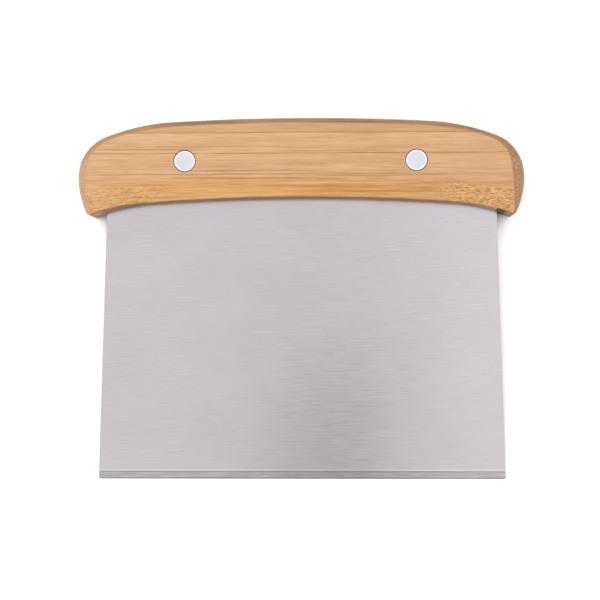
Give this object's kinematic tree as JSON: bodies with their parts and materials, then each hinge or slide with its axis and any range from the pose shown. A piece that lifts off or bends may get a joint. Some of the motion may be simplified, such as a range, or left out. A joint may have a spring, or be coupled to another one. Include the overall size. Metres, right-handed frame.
{
  "type": "bench scraper",
  "caption": "Bakery bench scraper: a flared brushed steel blade with a bevelled edge, held in a laminated bamboo handle by flush aluminium rivets.",
  "frame": {"origin": "middle of the footprint, at the handle's back face", "axes": "+X along the cutting edge, +Y from the cutting edge to the handle, +Z out of the show face, square to the blade"},
  "size_m": [0.1664, 0.1348, 0.017],
  "materials": {
    "blade_steel": "fine brushing along the cutting edge, satin",
    "bamboo": "sanded and oiled, satin",
    "rivet_aluminium": "satin, bright rim"
  },
  "bodies": {
    "root": {"blade": "blade_steel", "handle_crown_strip": "bamboo", "handle_upper_strip": "bamboo", "handle_middle_strip": "bamboo", "handle_lower_strip": "bamboo", "left_rivet_tube": "rivet_aluminium", "left_rivet_pin": "rivet_aluminium", "right_rivet_tube": "rivet_aluminium", "right_rivet_pin": "rivet_aluminium"}
  },
  "joints": []
}
